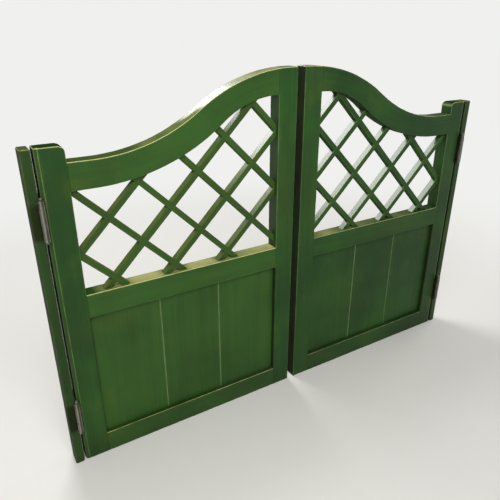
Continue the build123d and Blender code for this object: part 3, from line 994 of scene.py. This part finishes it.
def post_material(side):
    """The same paint for a post, with its arrises worked out from the place in the post's box.

    The face towards the leaf is dark with painted shade, the face against the wall with dirt and painted
    shade, and the places beside the hinges with a painted shadow of the hinges.
    """
    low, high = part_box(f"{side}_post")
    shader = Shader(f"{side}_post_paint")
    x, y, z = shader.parts(shader.place())
    middle = (low + high) / 2
    half = (high - low) / 2
    from_x = shader.math("SUBTRACT", half.x, shader.apart(x, middle.x))
    from_y = shader.math("SUBTRACT", half.y, shader.apart(y, middle.y))
    from_top = shader.math("SUBTRACT", high.z, z)
    inner = shader.math("MINIMUM", shader.most(from_x, from_y), from_top)
    arris = shader.most(shader.math("MINIMUM", from_x, from_y), inner)
    grain = shader.add("ShaderNodeCombineXYZ", z, x, y)
    # Painted shade on the face towards the leaf, inside the gap, fading to the dirt on the rest of the post
    away = shader.apart(x, low.x if side == "right" else high.x)
    shut = shader.fade(away, *GAP_FADE, 1.0, POST_GRIME)
    # Painted shadow of the hinges on the post beside each jamb flange
    for level in ("lower", "upper"):
        bottom, top = (corner.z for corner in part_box(f"{side}_{level}_jamb_flange"))
        past = shader.math("SUBTRACT", shader.apart(z, (bottom + top) / 2), (top - bottom) / 2)
        near = shader.fade(past, *PAST_FADE, HINGE_SHADOW, 0.0)
        shut = shader.most(shut, shader.times(near, shader.fade(away, *ACROSS_FADE, 1.0, 0.0)))
    # Dirt and painted shade on the face against the wall
    wide = high.x - low.x
    shut = shader.most(shut, shader.fade(away, wide - 0.001, wide - 0.0002, 0.0, WALL_DIRT_AND_SHADE))
    return worn_paint(shader, grain.outputs[0], arris, shut=shut, **POST_PLAIN)


def barrel_highlights(shader, base, side):
    """Painted highlights and shade on the hinge barrels of one side, which share two upright axes, one in
    front and one behind.

    A painted highlight runs down each barrel left of its front, next to a painted shade line, with a fainter
    painted highlight beyond. Whatever stands out past a barrel's radius, such as a collar's pin, gets a
    painted highlight too.
    """
    steel = settings("steel")
    x, y, _ = shader.parts(shader.place())
    dx = shader.math("SUBTRACT", x, -SIDES[side] * BARREL_AXIS[0])
    dy = shader.math("SUBTRACT", shader.math("ABSOLUTE", y), BARREL_AXIS[1])
    radius = shader.math("SQRT", shader.total(0.0, (dy, dy), (dx, dx)))
    out = shader.fade(dy, 0.0, 0.003)
    # Painted highlight and shade bands by their middle, half width, strength and colour
    for middle, half, share, colour in (
        (-0.0030, 0.0024, 0.85, steel.bright),
        (0.0016, 0.0010, 0.85, steel.dark),
        (0.0046, 0.0014, 0.5, steel.bright),
    ):
        band = shader.fade(shader.apart(dx, middle), 0.3 * half, half, share, 0.0)
        base = shader.mix(shader.times(band, out), base, colour)
    # Painted highlight on whatever stands out past the barrel, such as a collar's pin
    past = shader.fade(radius, BARREL_RADIUS + 0.0004, BARREL_RADIUS + 0.001)
    return shader.mix(shader.times(past, out), base, steel.bright)


def steel_material(name, main, rust, rough, shade_and_soil, side=None):
    """Brushed steel: fine lines along Z, cloudy tarnish, a little rust, and dirt and painted shade on its
    tops.

    rough is the least roughness, the share after it how much light old dirt takes, with painted shade as well
    on the right side's hinges, and side adds its barrels' painted highlights and shade.
    """
    found = bpy.data.materials.get(name)
    if found:
        return found
    shader = Shader(name)
    fade, total, mix, darken, noise = shader.fade, shader.total, shader.mix, shader.darken, shader.noise
    dull = settings("steel").dull
    place = shader.place()
    clouds = noise(place, 60.0, 4.0, 0.6)
    brushed = noise(shader.scaled(place, (900.0, 900.0, 60.0)), 1.0, 3.0, 0.6)
    spots = noise(place, 330.0, 3.0, 0.6)

    # Tarnish in clouds and along the brush lines, and spots of rust
    base = mix(fade(clouds, 0.35, 0.7, 0.1, 0.9), main, dull)
    base = mix(fade(brushed, 0.2, 0.8, 0.0, 0.25), base, dull)
    base = mix(shader.times(fade(spots, 0.62, 0.74), rust), base, RUST)
    if side:
        base = barrel_highlights(shader, base, side)

    # Old dirt all over, with painted shade on the right side's hinges, and more dirt and painted shade on the
    # tops, which are rougher too
    tops_dirt_and_shade = fade(shader.upward(), 0.1, 0.6)
    base = darken(base, (1 - shade_and_soil,) * 3)
    base = darken(base, total(1.0, (tops_dirt_and_shade, -0.3)))
    rough = total(rough, (brushed, 0.1), (clouds, 0.16), (tops_dirt_and_shade, 0.3))
    height = total(0.0, (spots, 0.5), (brushed, 0.5))
    return shader.finish(base, rough, shader.bump(height, 0.0002, 0.5), Metallic=0.8)


def hinge_material(side):
    """The dull steel of one side's hinges."""
    main = settings("steel").steel
    return steel_material(f"{side}_hinge_steel", main, HINGE_RUST, HINGE_ROUGH, HINGE_SOIL_AND_SHADE[side], side)


def bright_material():
    """The brighter steel of spindles, springs and screws."""
    return steel_material("pin_steel", settings("steel").bright, PIN_RUST, PIN_ROUGH, PIN_SOIL)


def floor_material():
    """A plain pale floor with a faint mottle, which fades into the background far from the doors."""
    stage = settings("stage")
    shader = Shader("pale_floor")
    place = shader.place()
    mottle = shader.noise(place, 3.0, 3.0)
    base = shader.mix(shader.fade(mottle, 0.3, 0.7, 0.0, 0.04), stage.floor, FLOOR_MOTTLE)
    shader.finish(base, 0.8, shader.bump(shader.noise(place, 90.0), 0.0003, 0.2))
    away = shader.add("ShaderNodeVectorMath", place, operation="LENGTH")
    far = shader.times(shader.fade(away.outputs["Value"], *FLOOR_FADE), shader.seen())
    glow = shader.add("ShaderNodeEmission", stage.background)
    shader.put(shader.output, shader.blend(far, shader.surface.outputs[0], glow.outputs[0]))
    return shader.material


def put_material(node, material):
    """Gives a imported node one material."""
    data = nodes[node].data
    data.materials.clear()
    data.materials.append(material)


# Operators


class SALOON_OT_stiles(bpy.types.Operator):
    """Build the hinge stiles and the meeting stiles"""

    bl_idname = "saloon.stiles"
    bl_label = "Stiles"

    def execute(self, context):
        for side in SIDES:
            stile(side, "hinge_stile", 0.0, STILE_INNER)
            stile(side, "meeting_stile", MEETING_INNER, LEAF_WIDTH)
        return {"FINISHED"}


class SALOON_OT_rails(bpy.types.Operator):
    """Build the top, middle and bottom rails"""

    bl_idname = "saloon.rails"
    bl_label = "Rails"

    def execute(self, context):
        curves = {"top_rail": (window_top, neck_top)}
        for name, heights in (("middle_rail", MIDDLE_RAIL), ("bottom_rail", BOTTOM_RAIL)):
            curves[name] = [functools.partial(np.full_like, fill_value=height) for height in heights]
        for side in SIDES:
            for name, (lower, upper) in curves.items():
                rail(side, name, lower, upper)
        return {"FINISHED"}


class SALOON_OT_boards(bpy.types.Operator):
    """Build the panel boards"""

    bl_idname = "saloon.boards"
    bl_label = "Boards"

    def execute(self, context):
        joints = (STILE_INNER - BOARD_HOUSING, *BOARD_JOINTS, MEETING_INNER + BOARD_HOUSING)
        for side in SIDES:
            for number in (1, 2, 3):
                board(side, number, joints[number - 1], joints[number])
        return {"FINISHED"}


class SALOON_OT_lattice(bpy.types.Operator):
    """Build the lattice slats"""

    bl_idname = "saloon.lattice"
    bl_label = "Lattice"

    def execute(self, context):
        for side in SIDES:
            for rising, count in ((True, RISING_SLATS), (False, FALLING_SLATS)):
                for number in range(1, count + 1):
                    slat(side, number, rising)
        return {"FINISHED"}


class SALOON_OT_posts(bpy.types.Operator):
    """Paint the wall posts"""

    bl_idname = "saloon.posts"
    bl_label = "Posts"

    def execute(self, context):
        for side in SIDES:
            put_material(f"{side}_post", post_material(side))
        return {"FINISHED"}


class SALOON_OT_hinges(bpy.types.Operator):
    """Finish the hinges, their pins, springs and screws"""

    bl_idname = "saloon.hinges"
    bl_label = "Hinges"

    def execute(self, context):
        for name in nodes:
            if any(word in name for word in ("flange", "web", "collars")):
                put_material(name, hinge_material(name.split("_")[0]))
            elif any(word in name for word in ("spindles", "springs", "screws")):
                put_material(name, bright_material())
        return {"FINISHED"}


def add_lamp(name, place, aim, size, power):
    """A square area lamp that shines from a place towards a point."""
    lamp = bpy.data.lights.new(name, "AREA")
    lamp.size = size
    lamp.energy = power
    holder = add_object(name, lamp)
    holder.location = place
    holder.rotation_euler = (Vector(aim) - Vector(place)).to_track_quat("-Z", "Y").to_euler()


class SALOON_OT_stage(bpy.types.Operator):
    """Set the floor, the lamps, the background and the camera"""

    bl_idname = "saloon.stage"
    bl_label = "Stage"

    def execute(self, context):
        stage = settings("stage")
        scene = context.scene
        corners = ((-1, -1), (1, -1), (1, 1), (-1, 1))
        mesh = bpy.data.meshes.new("floor")
        mesh.from_pydata([(x * FLOOR_HALF, y * FLOOR_HALF, 0) for x, y in corners], [], [(0, 1, 2, 3)])
        mesh.materials.append(floor_material())
        floor = add_object("floor", mesh)
        for lamp in LAMPS:
            add_lamp(*lamp)

        scene.world = bpy.data.worlds.new("soft_room")
        room = NodeTree(scene.world)
        light = room.add("ShaderNodeBackground", ROOM_COLOUR, ROOM_LIGHT)
        shown = room.add("ShaderNodeBackground", stage.background)
        output = room.add("ShaderNodeOutputWorld").inputs["Surface"]
        room.put(output, room.blend(room.seen(), light.outputs[0], shown.outputs[0]))

        camera = bpy.data.cameras.new("photo_camera")
        camera.sensor_width = SENSOR_WIDTH
        camera.lens = stage.focal * 1000
        holder = add_object("photo_camera", camera)
        holder.location = stage.stand
        holder.rotation_euler = (math.radians(90) - stage.pitch, 0.0, -stage.heading)
        scene.camera = holder
        scene.view_settings.view_transform = "Standard"
        return {"FINISHED"}


class SALOON_PT_finish(bpy.types.Panel):
    """Lists the pieces of the finish"""

    bl_idname = "SALOON_PT_finish"
    bl_label = "Saloon doors"
    bl_space_type = "VIEW_3D"
    bl_region_type = "UI"
    bl_category = "Saloon doors"

    def draw(self, context):
        """Shows a button for each operator and the settings."""
        for operator in OPERATORS:
            self.layout.operator(operator.bl_idname)
        for name in SETTINGS:
            group = getattr(context.scene, name)
            box = self.layout.box()
            for key in group.bl_rna.properties.keys():
                if key not in ("rna_type", "name"):
                    box.prop(group, key)


OPERATORS = (
    SALOON_OT_stiles,
    SALOON_OT_rails,
    SALOON_OT_boards,
    SALOON_OT_lattice,
    SALOON_OT_posts,
    SALOON_OT_hinges,
    SALOON_OT_stage,
)
SETTINGS = {
    "saloon_timber": TimberSettings,
    "saloon_paint": PaintSettings,
    "saloon_steel": SteelSettings,
    "saloon_stage": StageSettings,
}


def register():
    """Registers the settings, the operators and the panel."""
    for group in SETTINGS.values():
        bpy.utils.register_class(group)
    for name, group in SETTINGS.items():
        setattr(bpy.types.Scene, name, bpy.props.PointerProperty(type=group))
    for operator in OPERATORS:
        bpy.utils.register_class(operator)
    bpy.utils.register_class(SALOON_PT_finish)


def unregister():
    """Takes the panel, the operators and the settings away again."""
    bpy.utils.unregister_class(SALOON_PT_finish)
    for operator in reversed(OPERATORS):
        bpy.utils.unregister_class(operator)
    for name, group in SETTINGS.items():
        delattr(bpy.types.Scene, name)
        bpy.utils.unregister_class(group)


def main():
    """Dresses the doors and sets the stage."""
    register()
    bpy.ops.saloon.stiles()
    bpy.ops.saloon.rails()
    bpy.ops.saloon.boards()
    bpy.ops.saloon.lattice()
    bpy.ops.saloon.posts()
    bpy.ops.saloon.hinges()
    bpy.ops.saloon.stage()
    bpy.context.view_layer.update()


if __name__ == "__main__":
    main()
